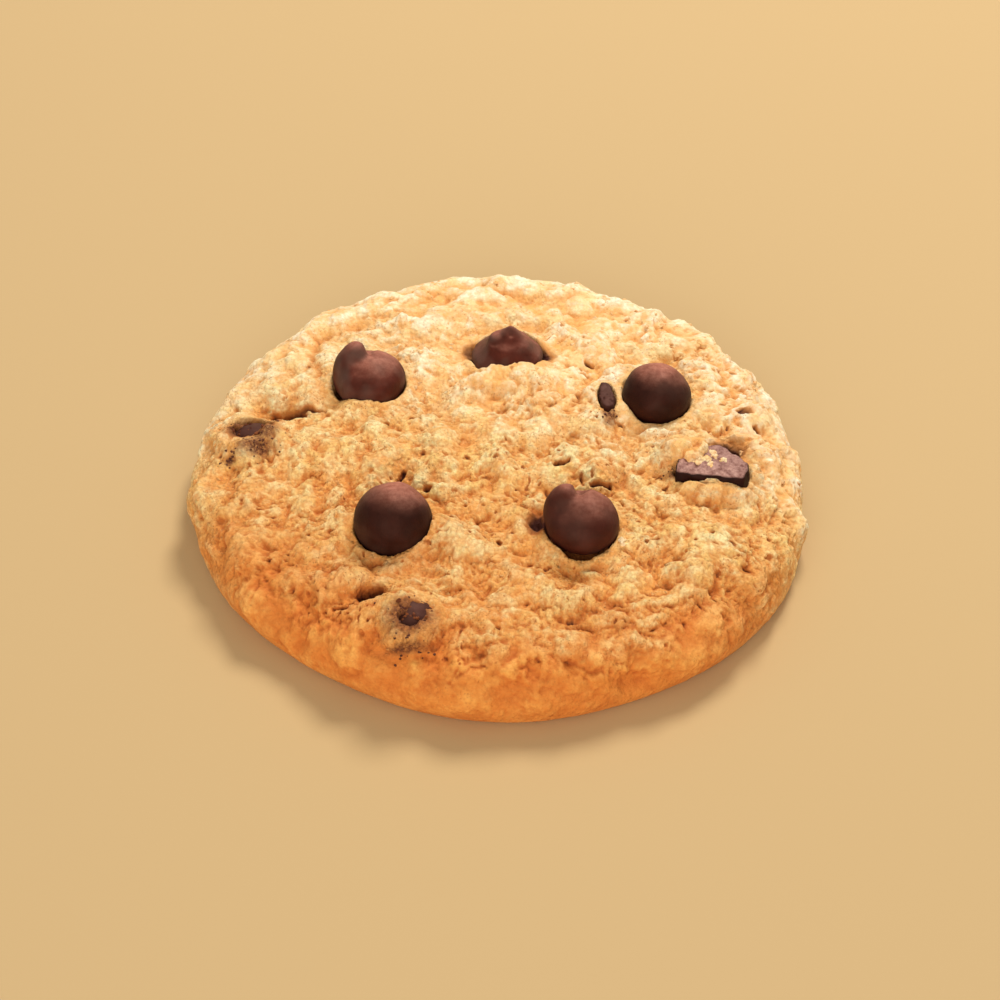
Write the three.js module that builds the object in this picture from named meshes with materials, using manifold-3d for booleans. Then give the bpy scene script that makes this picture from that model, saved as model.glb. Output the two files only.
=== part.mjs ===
// A round chocolate chip cookie: one baked dough body with its chocolate chips and broken
// pieces of chip, each a solid of its own sitting in a socket of the dough.
// Millimetres, +Z up, origin on the table under the middle of the cookie.

import * as THREE from 'three';
import { mergeVertices } from 'three/addons/utils/BufferGeometryUtils.js';
import Module from 'manifold-3d';

// ---- the dough ----------------------------------------------------------------------------
const RIM_RADIUS = 38.0;          // mean radius at the widest line
const RIM_WAVES = [               // how the outline leaves a true circle
  { waves: 2, rise: 0.6, peak: -46 },
  { waves: 3, rise: 0.1, peak: -35 },
  { waves: 4, rise: 0.2, peak: 17 },
  { waves: 5, rise: 0.25, peak: -32 },
  { waves: 6, rise: 0.2, peak: -28 },
];
const BELLY_HEIGHT = 3.6;         // height of the widest line over the table
const FOOT_INSET = 2.2;           // how far the flat underside ends inside the widest line
const SHOULDER_REACH = 9.0;       // how far in the rounded shoulder runs
const SHOULDER_HEIGHT = 9.6;      // height where the shoulder meets the crown
const SHOULDER_SQUARENESS = 0.9;  // 1 makes the shoulder a quarter ellipse, less makes it fuller
const CROWN_RISE = 1.7;           // how much the crown swells towards the middle
const CROWN_SLOPE = 0.1;          // how far the crown's rim faces outwards
const CROWN_SHARE = 0.72;         // where along the section the crown ends
const BELLY_SHARE = 0.94;         // where along the section the widest line comes
const RELIEF = [                  // broad unevenness of the baked surface
  { size: 8.0, depth: 0.8 },
  { size: 3.8, depth: 0.6 },
];
const SMOOTH_FOOT_HEIGHT = 5.0;   // below this the side gets smoother towards the table
const FURROWS = [                 // cracks that opened in the oven, each a bent trough
  { name: 'back left crack', width: 1.7, depth: 2.2, path: [[-29.5, 9.9], [-25.6, 8.5], [-21.0, 9.0]] },
  { name: 'front pit crease', width: 1.3, depth: 1.1,
    path: [[-15.0, -24.6], [-19.5, -26.4], [-24.5, -24.8]] },
  { name: 'front left groove', width: 1.6, depth: 1.0,
    path: [[-24.5, -24.8], [-19.7, -29.2], [-14.6, -32.4]] },
  { name: 'back dent', width: 2.2, depth: 0.9, path: [[6.6, 28.8], [10.6, 27.8]] },
];
const CENTRING = [0.3, -0.2];     // moves the cookie so that its box is centred over the origin
const GRID_CELLS = 44;            // cells along each side of the dough's square net

// ---- the chocolate ------------------------------------------------------------------------
const SOCKET_GAP = 0.3;           // clearance between a piece of chocolate and its socket
const CHIP_SIDES = 20;
const TIP_SIDES = 10;
// A chip's foot narrows downwards: share of the chip's half width at each share of its depth.
const FOOT_TAPER = [{ wide: 0.7, deep: 1 }, { wide: 0.88, deep: 0.8 }, { wide: 0.96, deep: 0.4 }];
const DOME_DEGREES = [0, 22, 44, 64, 80];  // where the dome's rings lie, up from the waterline
// A tip's outline: share of its half width at each share of its height over its root.
const TIP_TAPER = [{ wide: 1.3, high: 0 }, { wide: 0.95, high: 0.5 }, { wide: 0.6, high: 0.8 },
  { wide: 0.3, high: 0.95 }];
const TIP_ROOT = 0.45;            // a tip starts at this share of the dome's height
// at: where its waterline's middle lies; lift: waterline over the surrounding dough;
// dome: height over the waterline; sink: depth under it; lean: tilt in degrees about X, then Y;
// tip: the drawn-out point, with its place, its height over the waterline and its width.
const CHIPS = [
  { name: 'chip_back_left', at: [-16.3, 12.4], width: 9.1, depth: 8.9, lift: -0.2, dome: 3.5, sink: 3.0,
    lean: [-3, -3], tip: { at: [-1.1, 1.6], height: 4.8, width: 3.0 } },
  { name: 'chip_back', at: [0.9, 17.4], width: 9.0, depth: 8.8, lift: -0.3, dome: 2.2, sink: 2.8,
    lean: [-4, 2], tip: { at: [0.7, 0.3], height: 3.9, width: 5.0 } },
  { name: 'chip_back_right', at: [19.4, 9.8], width: 8.6, depth: 8.4, lift: 0.1, dome: 4.1, sink: 3.0,
    lean: [0, 3] },
  { name: 'chip_front_left', at: [-12.7, -13.7], width: 9.4, depth: 9.2, lift: 0.1, dome: 4.8, sink: 3.0,
    lean: [8, -3] },
  { name: 'chip_front_right', at: [9.6, -14.7], width: 9.0, depth: 9.0, lift: 0.4, dome: 3.4, sink: 3.2,
    lean: [4, 2], tip: { at: [-1.9, 2.0], height: 4.0, width: 3.0 } },
  { name: 'chip_buried_left', at: [-30.8, 3.9], width: 6.6, depth: 6.2, lift: -1.2, dome: 2.0, sink: 2.0,
    lean: [0, -12] },
  { name: 'chip_buried_front', at: [-10.4, -28.8], width: 6.8, depth: 6.2, lift: -1.1, dome: 2.0, sink: 2.2,
    lean: [10, 0] },
];
// Broken pieces: a plan outline in millimetres, pressed to a slab and tipped into the dough.
const SHARDS = [
  { name: 'chunk_right', at: [25.6, -3.9], lift: 0.9, thick: 3.2, bevel: 0.4, turn: -4, lean: [-4, -3],
    outline: [[-4.3, -2.4], [3.6, -3.0], [4.4, -0.6], [2.4, 2.6], [-1.0, 2.9], [-3.7, 1.6]] },
  { name: 'splinter', at: [13.2, 8.8], lift: 0.5, thick: 2.2, bevel: 0.35, turn: 0, lean: [-8, 4],
    outline: [[-0.5, 2.6], [-1.0, 0.6], [-0.7, -1.9], [0.3, -2.6], [1.0, -1.4], [0.8, 0.8], [0.3, 2.3]] },
];

const doughMaterial = new THREE.MeshStandardMaterial({ color: 0xe9b566, roughness: 0.9, metalness: 0 });
const chocolateMaterial = new THREE.MeshStandardMaterial({ color: 0x3c1d16, roughness: 0.45, metalness: 0 });

const wasm = await Module();
wasm.setup();

// ---- shape functions ----------------------------------------------------------------------
const clamp01 = (value) => Math.min(1, Math.max(0, value));
const smooth = (value) => value * value * (3 - 2 * value);
const mix = (from, to, share) => from + (to - from) * share;

// A repeatable number from 0 to 1 for each corner of a cubic lattice.
function latticeValue(i, j, k) {
  const wave = Math.sin(i * 127.1 + j * 311.7 + k * 74.7) * 43758.5453;
  return wave - Math.floor(wave);
}

// Smooth bumps between -1 and 1, about one to each cell of the given size.
function bumps(x, y, z, size) {
  const [u, v, w] = [x / size, y / size, z / size];
  const [i, j, k] = [Math.floor(u), Math.floor(v), Math.floor(w)];
  const [a, b, c] = [smooth(u - i), smooth(v - j), smooth(w - k)];
  let sum = 0;
  for (const [di, wi] of [[0, 1 - a], [1, a]]) {
    for (const [dj, wj] of [[0, 1 - b], [1, b]]) {
      for (const [dk, wk] of [[0, 1 - c], [1, c]]) {
        sum += wi * wj * wk * latticeValue(i + di, j + dj, k + dk);
      }
    }
  }
  return sum * 2 - 1;
}

function rimRadius(angle) {
  let radius = RIM_RADIUS;
  for (const { waves, rise, peak } of RIM_WAVES) {
    radius += rise * Math.cos(waves * (angle - THREE.MathUtils.degToRad(peak)));
  }
  return radius;
}

// Section of the bare dough at one angle. share runs from 0 at the middle of the crown,
// over the shoulder and belly, to 1 at the edge of the flat underside.
function section(rim, share) {
  const crownRadius = rim - SHOULDER_REACH;
  if (share <= CROWN_SHARE) {
    const part = share / CROWN_SHARE;
    const height = SHOULDER_HEIGHT + CROWN_RISE * (1 - part * part);
    return { radius: crownRadius * part, height, out: CROWN_SLOPE * part, up: 1 };
  }
  if (share <= BELLY_SHARE) {
    const turn = (1 - (share - CROWN_SHARE) / (BELLY_SHARE - CROWN_SHARE)) * Math.PI / 2;
    const radius = crownRadius + SHOULDER_REACH * Math.cos(turn) ** SHOULDER_SQUARENESS;
    const height = BELLY_HEIGHT + (SHOULDER_HEIGHT - BELLY_HEIGHT) * Math.sin(turn) ** SHOULDER_SQUARENESS;
    return { radius, height, out: Math.cos(turn), up: Math.sin(turn) };
  }
  const turn = (share - BELLY_SHARE) / (1 - BELLY_SHARE) * Math.PI / 2;
  const radius = rim - FOOT_INSET * (1 - Math.cos(turn));
  return { radius, height: BELLY_HEIGHT * (1 - Math.sin(turn)), out: 1, up: 0 };
}

function distanceToPath(x, y, path) {
  let nearest = Infinity;
  for (let n = 1; n < path.length; n += 1) {
    const [ax, ay] = path[n - 1];
    const [bx, by] = path[n];
    const along = ((x - ax) * (bx - ax) + (y - ay) * (by - ay)) / ((bx - ax) ** 2 + (by - ay) ** 2);
    const share = clamp01(along);
    nearest = Math.min(nearest, Math.hypot(x - mix(ax, bx, share), y - mix(ay, by, share)));
  }
  return nearest;
}

// How far the surface stands proud of the bare section at a place on it.
function relief(x, y, z) {
  let rise = 0;
  for (const { size, depth } of RELIEF) rise += depth * bumps(x, y, z, size);
  for (const { path, width, depth } of FURROWS) {
    const away = distanceToPath(x, y, path) / width;
    rise -= depth * Math.exp(-away * away);
  }
  return rise * smooth(clamp01(z / SMOOTH_FOOT_HEIGHT));
}

function doughPoint(angle, share) {
  const { radius, height, out, up } = section(rimRadius(angle), share);
  const [x, y] = [radius * Math.cos(angle), radius * Math.sin(angle)];
  const rise = relief(x, y, height);
  const grown = (radius + rise * out) / Math.max(radius, 1e-6);
  return new THREE.Vector3(x * grown, y * grown, height + rise * up);
}

// Height of the uncut dough over a place on the crown.
function doughHeight(x, y) {
  const angle = Math.atan2(y, x);
  const rim = rimRadius(angle);
  const wanted = Math.hypot(x, y);
  let [low, high] = [0, BELLY_SHARE];
  for (let step = 0; step < 30; step += 1) {
    const middle = (low + high) / 2;
    if (section(rim, middle).radius < wanted) low = middle;
    else high = middle;
  }
  return doughPoint(angle, low).z;
}

// ---- solids -------------------------------------------------------------------------------
function solidOf(geometry) {
  const bare = geometry.clone();
  bare.deleteAttribute('normal');
  bare.deleteAttribute('uv');
  const merged = mergeVertices(bare, 1e-4);
  return new wasm.Manifold(new wasm.Mesh({
    numProp: 3,
    vertProperties: Float32Array.from(merged.attributes.position.array),
    triVerts: Uint32Array.from(merged.index.array),
  }));
}

function geometryOf(solid) {
  const { vertProperties, triVerts } = solid.getMesh();
  const geometry = new THREE.BufferGeometry();
  geometry.setAttribute('position', new THREE.BufferAttribute(Float32Array.from(vertProperties), 3));
  geometry.setIndex(new THREE.BufferAttribute(Uint32Array.from(triVerts), 1));
  geometry.computeVertexNormals();
  return geometry;
}

// The dough is a square net wrapped over the top and sides, closed by a fan underneath.
function doughGeometry() {
  const points = [];
  const faces = [];
  const side = GRID_CELLS + 1;
  const perimeter = [];
  for (let row = 0; row < side; row += 1) {
    for (let column = 0; column < side; column += 1) {
      const a = column / GRID_CELLS * 2 - 1;
      const b = row / GRID_CELLS * 2 - 1;
      const reach = Math.max(Math.abs(a), Math.abs(b));
      let angle = 0;
      if (reach > 0) {
        if (Math.abs(a) >= Math.abs(b)) angle = Math.PI / 4 * b / a + (a < 0 ? Math.PI : 0);
        else angle = Math.PI / 2 - Math.PI / 4 * a / b + (b < 0 ? Math.PI : 0);
      }
      points.push(...doughPoint(angle, reach).toArray());
      if (reach === 1) perimeter.push({ index: points.length / 3 - 1, angle });
    }
  }
  for (let row = 0; row < GRID_CELLS; row += 1) {
    for (let column = 0; column < GRID_CELLS; column += 1) {
      const corner = row * side + column;
      const [a, b, c, d] = [corner, corner + 1, corner + side + 1, corner + side];
      if ((row < GRID_CELLS / 2) === (column < GRID_CELLS / 2)) faces.push(a, b, c, a, c, d);
      else faces.push(a, b, d, b, c, d);
    }
  }
  points.push(0, 0, 0);
  const hub = points.length / 3 - 1;
  const around = (angle) => (angle + Math.PI * 2) % (Math.PI * 2);
  perimeter.sort((p, q) => around(p.angle) - around(q.angle));
  perimeter.forEach(({ index }, n) => faces.push(hub, perimeter[(n + 1) % perimeter.length].index, index));
  const geometry = new THREE.BufferGeometry();
  geometry.setAttribute('position', new THREE.BufferAttribute(new Float32Array(points), 3));
  geometry.setIndex(faces);
  return geometry;
}

// A chip is a dome over a tapered foot, with a drawn-out tip on some. grow widens it all over.
function chipSolid({ width, depth, dome, sink, tip }, grow) {
  const profile = [new THREE.Vector2(0, -sink - grow)];
  for (const { wide, deep } of FOOT_TAPER) {
    profile.push(new THREE.Vector2(wide * width / 2 + grow, -sink * deep - grow * deep));
  }
  for (const degrees of DOME_DEGREES) {
    const turn = THREE.MathUtils.degToRad(degrees);
    const radius = width / 2 * Math.cos(turn) + grow * Math.cos(turn);
    profile.push(new THREE.Vector2(radius, (dome + grow) * Math.sin(turn)));
  }
  profile.push(new THREE.Vector2(0, dome + grow));
  const body = new THREE.LatheGeometry(profile, CHIP_SIDES).rotateX(Math.PI / 2).scale(1, depth / width, 1);
  const solid = solidOf(body);
  if (!tip) return solid;
  const reach = tip.width / 2 + grow;
  const top = tip.height + grow;
  const root = dome * TIP_ROOT;
  const profileOfTip = [new THREE.Vector2(0, root)];
  for (const { wide, high } of TIP_TAPER) {
    profileOfTip.push(new THREE.Vector2(reach * wide, mix(root, top, high)));
  }
  profileOfTip.push(new THREE.Vector2(0, top));
  const cone = new THREE.LatheGeometry(profileOfTip, TIP_SIDES);
  cone.rotateX(Math.PI / 2).translate(tip.at[0], tip.at[1], 0);
  return solid.add(solidOf(cone));
}

// A shard is a bevelled slab with its upper face at the waterline.
function shardSolid({ outline, thick, bevel }, grow) {
  const shape = new THREE.Shape(outline.map(([x, y]) => {
    const stretch = 1 + (grow - bevel) / Math.hypot(x, y);
    return new THREE.Vector2(x * stretch, y * stretch);
  }));
  const slab = new THREE.ExtrudeGeometry(shape, {
    depth: thick + 2 * grow - 2 * bevel,
    bevelThickness: bevel,
    bevelSize: bevel,
    bevelSegments: 2,
    steps: 1,
  });
  return solidOf(slab.translate(0, 0, bevel - thick - grow));
}

// ---- assembly -----------------------------------------------------------------------------
const cookie = new THREE.Group();
cookie.position.set(...CENTRING, 0);
let dough = solidOf(doughGeometry());

function setIn(spec, solidMaker) {
  const piece = new THREE.Mesh(geometryOf(solidMaker(spec, 0)), chocolateMaterial);
  piece.name = spec.name;
  piece.position.set(spec.at[0], spec.at[1], doughHeight(...spec.at) + spec.lift);
  const [leanX, leanY] = spec.lean.map(THREE.MathUtils.degToRad);
  piece.rotation.set(leanX, leanY, THREE.MathUtils.degToRad(spec.turn ?? 0));
  piece.updateMatrix();
  const socket = geometryOf(solidMaker(spec, SOCKET_GAP)).applyMatrix4(piece.matrix);
  dough = dough.subtract(solidOf(socket));
  cookie.add(piece);
}

CHIPS.forEach((spec) => setIn(spec, chipSolid));
SHARDS.forEach((spec) => setIn(spec, shardSolid));

const doughMesh = new THREE.Mesh(geometryOf(dough), doughMaterial);
doughMesh.name = 'dough';
cookie.add(doughMesh);

export default cookie;
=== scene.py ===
"""The looks of a chocolate chip cookie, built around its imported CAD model.

The dough is one dense mesh: the CAD dough's own section and broad relief, with the lumps,
cracks, pits and pores of the baked surface added. Each chip and broken piece of chocolate is
a mesh fitted to its CAD node's box. Crumbs and chocolate specks are joined meshes.
Shapes are worked out in millimetres and stored in metres.
"""

import itertools
import math

import bmesh
import bpy
import numpy as np
from mathutils import Matrix, Vector


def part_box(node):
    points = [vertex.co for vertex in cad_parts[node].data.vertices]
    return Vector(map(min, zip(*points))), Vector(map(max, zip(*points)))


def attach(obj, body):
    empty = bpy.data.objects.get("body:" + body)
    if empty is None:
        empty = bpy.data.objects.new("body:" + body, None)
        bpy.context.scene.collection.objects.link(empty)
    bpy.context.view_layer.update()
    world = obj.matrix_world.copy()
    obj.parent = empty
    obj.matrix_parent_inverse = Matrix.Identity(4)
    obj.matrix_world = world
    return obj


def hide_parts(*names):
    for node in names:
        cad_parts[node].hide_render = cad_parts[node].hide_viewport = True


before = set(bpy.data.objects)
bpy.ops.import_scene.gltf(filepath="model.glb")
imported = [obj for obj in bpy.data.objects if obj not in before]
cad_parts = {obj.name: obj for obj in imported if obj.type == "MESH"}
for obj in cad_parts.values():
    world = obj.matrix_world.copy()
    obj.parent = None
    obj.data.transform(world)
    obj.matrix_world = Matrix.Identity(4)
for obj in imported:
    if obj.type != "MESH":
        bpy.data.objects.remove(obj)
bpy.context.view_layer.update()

MM = 0.001
RNG = np.random.default_rng(41)

# ---- the dough's section, as the CAD model has it ----------------------------------------
RIM_RADIUS = 38.0
# The outline's waves: how many go round, how high in millimetres, and where one peaks in degrees.
RIM_WAVES = [(2, 0.6, -46), (3, 0.1, -35), (4, 0.2, 17), (5, 0.25, -32), (6, 0.2, -28)]
BELLY_HEIGHT = 3.6
FOOT_INSET = 2.2
SHOULDER_REACH = 9.0
SHOULDER_HEIGHT = 9.6
SHOULDER_POWER = 0.9
CROWN_RISE = 1.7
CROWN_TILT = 0.1
# How far down the way from the crown's middle to the foot the crown and the shoulder end.
CROWN_SHARE = 0.72
BELLY_SHARE = 0.94
# The broad relief: the size of its bumps and how high they are.
RELIEF = [(8.0, 0.8), (3.8, 0.6)]
# The relief fades out below this height.
SMOOTH_FOOT_HEIGHT = 5.0
# Where the dough's own middle lies in the frame.
CENTRING = np.array([0.3, -0.2, 0.0])

# ---- how finely things are meshed ---------------------------------------------------------
# Cells along each side of the dough's net, and the triangles that it is thinned out to.
GRID_CELLS = 450
DOUGH_TRIANGLES = 190000
UNDERSIDE_SPACING = 0.6
CHIP_FINENESS = 5
# Where the dough's net and its underside lie in the texture square of its UV map.
NET_SPAN = 0.72
UV_MARGIN = 0.01
UNDERSIDE_SPAN = 0.12
UNDERSIDE_MIDDLE = (0.87, 0.13)


# ---- fields over points in millimetres ----------------------------------------------------
# A number added to the points, or a seed, only starts the noise at another place.
# SWELL_HEIGHT brings swells up to about 1. The higher LUMP_CREASE, the sharper lumps meet.
SWELL_HEIGHT = 1.5
LUMP_CREASE = 8


def smooth(value):
    value = np.clip(value, 0, 1)
    return value * value * (3 - 2 * value)


def step_between(low, high, value):
    return smooth((value - low) / (high - low))


def lattice_value(i, j, k):
    """A number from 0 to 1 for a corner of the lattice: it looks drawn, but is always the same."""
    wave = np.sin(i * 127.1 + j * 311.7 + k * 74.7) * 43758.5453
    return wave - np.floor(wave)


def lattice_cell(points, size):
    """The lattice cell that each point lies in, and how far it is across it along each axis."""
    scaled = points / size
    corner = np.floor(scaled)
    return corner, scaled - corner


def bumps(points, size):
    """Smooth bumps between -1 and 1, about one to each cell of the given size."""
    corner, part = lattice_cell(points, size)
    fade = part * part * (3 - 2 * part)
    total = np.zeros(len(points))
    for step in itertools.product((0, 1), repeat=3):
        weight = np.prod(np.where(step, fade, 1 - fade), axis=1)
        total += weight * lattice_value(*(corner + step).T)
    return total * 2 - 1


def swells(points, size):
    """Smoothly rolling noise about zero, mostly within -1 and 1, with features of the given size."""
    corner, part = lattice_cell(points, size)
    fade = part**3 * (part * (part * 6 - 15) + 10)
    total = np.zeros(len(points))
    for step in itertools.product((0, 1), repeat=3):
        i, j, k = (corner + step).T
        slope = [lattice_value(i, j, k), lattice_value(j + 19, k, i), lattice_value(k, i + 43, j)]
        height = ((np.stack(slope, 1) * 2 - 1) * (part - step)).sum(1)
        weight = np.prod(np.where(step, fade, 1 - fade), axis=1)
        total += weight * height
    return total * SWELL_HEIGHT


def billows(points, size, count):
    """Rounded lumps parted by sharp creases, with smaller ones on them, from 0 up to about 1."""
    total = np.zeros(len(points))
    for level in range(count):
        total += np.abs(swells(points + 9.7 * level, size / 2**level)) / 2**level
    return total


def lumps(points, size, seed, present):
    """Uneven lopsided lumps, about one to a cell where present, meeting in creases."""
    corner, part = lattice_cell(points, size)
    total = np.zeros(len(points))
    for step in itertools.product((-1, 0, 1), repeat=3):
        i, j, k = (corner + step).T + seed
        draw = [lattice_value(i, j, k), lattice_value(j + 31, k, i), lattice_value(k, i + 57, j)]
        draw = np.stack(draw, 1)
        offset = part - step - 0.1 - 0.8 * draw
        radius = 0.5 + 0.45 * lattice_value(i + 13, k, j + 7)
        stretch = 0.7 + 1.1 * draw[:, [1, 2, 0]]
        away = (offset**2 * stretch).sum(1) / radius**2
        lopsided = 1 + 1.5 * (offset * (draw[:, [2, 0, 1]] - 0.5)).sum(1)
        rise = np.clip(1 - away, 0, None) * radius * np.clip(lopsided, 0, None)
        total += (rise * (lattice_value(k + 3, j, i + 9) < present)) ** LUMP_CREASE
    return total ** (1 / LUMP_CREASE) * size


def warped(points, size, reach):
    """The points pushed about by smooth bumps, so that what is laid over them gets ragged."""
    push = [bumps(points + offset, size) for offset in (11.0, 37.0, 71.0)]
    return points + reach * np.stack(push, 1)


def away_in_plan(points, middle, half):
    """How far the points are from a middle in plan, in half sizes: 1 on the ellipse they make."""
    return np.hypot(*((points[..., :2] - middle[:2]) / half[:2]).T)


def distance_to_path(points, path):
    nearest = np.full(len(points), np.inf)
    for start, end in zip(path[:-1], path[1:]):
        start, end = np.array(start, float), np.array(end, float)
        run = end - start
        share = np.clip(((points[:, :2] - start) @ run) / (run @ run), 0, 1)
        gap = points[:, :2] - (start + share[:, None] * run)
        nearest = np.minimum(nearest, np.hypot(gap[:, 0], gap[:, 1]))
    return nearest


# ---- the dough ----------------------------------------------------------------------------
# Troughs that the CAD dough has too: path in plan, width, depth.
CAD_FURROWS = [
    ("back left crack", [(-29.5, 9.9), (-27.8, 8.7), (-25.6, 9.0), (-23.6, 8.1), (-21.0, 9.0)], 1.6, 1.6),
    ("front pit crease", [(-15.0, -24.6), (-19.5, -26.4), (-24.5, -24.8)], 1.8, 0.6),
    ("front left groove", [(-24.5, -24.8), (-19.7, -29.2), (-14.6, -32.4)], 1.8, 0.6),
    ("back dent", [(6.6, 28.8), (10.6, 27.8)], 2.2, 0.9),
]
# Finer cracks and pits with ragged walls that get painted shade: path in plan, width, depth.
CRACKS = [
    ("back left pit", [(-26.6, 9.0), (-25.0, 8.0)], 0.9, 1.5),
    ("back left crack", [(-28.6, 9.4), (-26.2, 8.4), (-24.2, 8.8), (-22.2, 8.2)], 0.5, 0.8),
    ("front left pit", [(-15.9, -24.9), (-14.7, -24.2)], 1.0, 2.2),
    ("front left pit tail", [(-16.0, -25.2), (-17.6, -26.2), (-19.4, -26.4)], 0.35, 0.4),
    ("crack over the front left chip", [(-11.9, -4.3), (-12.7, -6.4)], 0.3, 0.9),
    ("pit right of that crack", [(-8.6, -7.2), (-8.2, -7.0)], 0.45, 1.1),
    ("pit left of the back right chip", [(11.0, 16.9), (11.6, 16.5)], 0.6, 0.8),
    ("slit in the middle", [(6.8, -3.4), (8.4, -3.0)], 0.35, 0.9),
    ("slit right of the middle", [(11.0, -7.2), (13.2, -6.7)], 0.35, 0.9),
    ("pit at the right rim", [(29.9, 7.8), (30.6, 7.2)], 0.6, 0.8),
    ("second pit at the right rim", [(31.5, 5.0), (31.9, 4.6)], 0.5, 0.7),
]
# Dough lying over or against chocolate: middle in plan, half width and half depth, height.
COVERS = [
    ("left lump on the buried front chip", (-12.0, -31.9), (1.6, 1.3), 1.3),
    ("right lump on the buried front chip", (-9.3, -32.2), (1.6, 1.3), 1.3),
    ("tongue over the chunk", (22.3, -1.8), (3.6, 2.5), 2.5),
    ("lip before the chunk", (26.2, -7.7), (5.6, 1.6), 0.9),
    ("lump at the chunk's right end", (30.9, -3.6), (1.3, 1.5), 0.7),
    ("lip before the back chip", (1.2, 11.9), (5.6, 2.4), 1.2),
    ("lump left of the front right chip", (2.6, -15.6), (1.9, 2.6), 0.8),
]
# Dough over a whole chip but for a hole: middle in plan, half width and half depth, height,
# then the hole's middle and half sizes.
SHROUDS = [
    ("over the buried left chip", (-30.6, 2.6), (5.4, 4.6), 1.2, (-30.5, 4.2), (1.9, 1.1)),
    ("over the buried front chip", (-10.1, -28.6), (5.6, 5.2), 1.1, (-10.0, -29.3), (1.25, 1.1)),
]
# Hollows in the dough beside the chocolate: middle in plan, half width and half depth, depth.
DIPS = [
    ("behind the chunk", (28.0, 0.6), (2.0, 2.0), 2.8),
    ("before the front right chip", (10.2, -19.8), (5.2, 3.4), 1.1),
    ("before the front left chip", (-12.0, -18.8), (5.4, 3.6), 1.2),
    ("before the back right chip", (19.6, 4.6), (5.0, 3.2), 1.1),
    ("left of the back chip", (-3.9, 19.3), (1.0, 1.6), 1.9),
    ("right of the back chip", (5.5, 17.4), (1.2, 1.6), 2.1),
    ("left of the front right chip", (4.4, -13.4), (1.2, 2.0), 2.1),
]
# Dough stained by melted chocolate: middle in plan, half width and half depth.
STAINS = [
    ("behind the buried left chip", (-30.8, 5.4), (3.0, 1.5)),
    ("right of the buried left chip", (-28.6, 2.4), (1.9, 1.8)),
    ("before the buried left chip", (-29.6, 0.2), (2.6, 1.6)),
    ("left of the buried left chip", (-33.0, -0.8), (0.9, 0.7)),
    ("round the buried front chip", (-10.2, -29.6), (3.3, 2.6)),
    ("slits before the buried front chip", (-10.6, -33.0), (2.8, 0.6)),
    ("left of the chunk", (21.6, -4.9), (1.8, 0.9)),
    ("under the splinter", (13.4, 5.6), (1.0, 1.3)),
]
# Lumps of the crust, layer by layer: size, seed, share of places that have one, mean height.
LUMP_LAYERS = {
    "large": (3.8, 5, 0.9, 2.0),
    "middling": (1.9, 25, 0.95, 1.0),
    "small": (0.95, 15, 0.95, 0.5),
    "grains": (0.5, 35, 0.95, 0.27),
}
# How gently pits go down at their edges.
PIT_WALL = 0.3
# Pits in the underside: where in the noise they come from, size and rarity; and their depth.
UNDERSIDE_PITS = [(7, 3.2, 0.25), (23, 1.8, 0.2)]
UNDERSIDE_PIT_DEPTH = 0.3
# How deep the crust is hollowed out round each piece of chocolate.
SOCKET_DEPTH = 2.8


def rim_radius(angle):
    """The outline: a circle with a few low waves round it."""
    radius = np.full_like(angle, RIM_RADIUS)
    for waves, rise, peak in RIM_WAVES:
        radius += rise * np.cos(waves * (angle - math.radians(peak)))
    return radius


def section(rim, share):
    """The bare dough at an angle: radius, height, and which way its surface faces."""
    crown_radius = rim - SHOULDER_REACH
    part = np.clip(share / CROWN_SHARE, 0, 1)
    crown = (
        crown_radius * part,
        SHOULDER_HEIGHT + CROWN_RISE * (1 - part * part),
        CROWN_TILT * part,
        np.ones_like(part),
    )
    turn = (1 - np.clip((share - CROWN_SHARE) / (BELLY_SHARE - CROWN_SHARE), 0, 1)) * math.pi / 2
    cosine, sine = np.clip(np.cos(turn), 0, 1), np.sin(turn)
    rise = SHOULDER_HEIGHT - BELLY_HEIGHT
    shoulder = (
        crown_radius + SHOULDER_REACH * cosine**SHOULDER_POWER,
        BELLY_HEIGHT + rise * sine**SHOULDER_POWER,
        cosine,
        sine,
    )
    turn = np.clip((share - BELLY_SHARE) / (1 - BELLY_SHARE), 0, 1) * math.pi / 2
    foot = (
        rim - FOOT_INSET * (1 - np.cos(turn)),
        BELLY_HEIGHT * (1 - np.sin(turn)),
        np.ones_like(turn),
        np.zeros_like(turn),
    )
    zone = [share <= CROWN_SHARE, share <= BELLY_SHARE]
    return [np.select(zone, [a, b], c) for a, b, c in zip(crown, shoulder, foot)]


def broad_relief(points):
    """The lumps and troughs of the CAD dough, fading out towards its foot."""
    rise = sum(depth * bumps(points, size) for size, depth in RELIEF)
    for _, path, width, depth in CAD_FURROWS:
        rise = rise - depth * np.exp(-((distance_to_path(points, path) / width) ** 2))
    return rise * smooth(points[:, 2] / SMOOTH_FOOT_HEIGHT)


def chip_footprint(node):
    """A chip's middle and half size, in the dough's own millimetres."""
    low, high = (np.array(corner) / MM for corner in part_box(node))
    return (low + high) / 2 - CENTRING, (high - low) / 2


FOOTPRINTS = {node: chip_footprint(node) for node in sorted(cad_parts) if node != "dough"}


def pits(points, size, rarity):
    """Scattered hollows with ragged outlines: 1 in their middles, 0 outside them."""
    return step_between(rarity, rarity + PIT_WALL, -swells(points, size))


def hollows(points):
    """Where the crust has small sunken places: 1 in their middles."""
    ragged = warped(warped(points, 2.2, 0.6), 0.8, 0.25)
    return np.maximum(pits(ragged + 77, 3.0, 0.32), 0.8 * pits(ragged + 41, 1.7, 0.38))


def raised_lumps(points, layer):
    """A layer of lumps, in millimetres over its own mean height."""
    size, seed, present, mean = LUMP_LAYERS[layer]
    return lumps(points, size, seed, present) - mean


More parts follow.
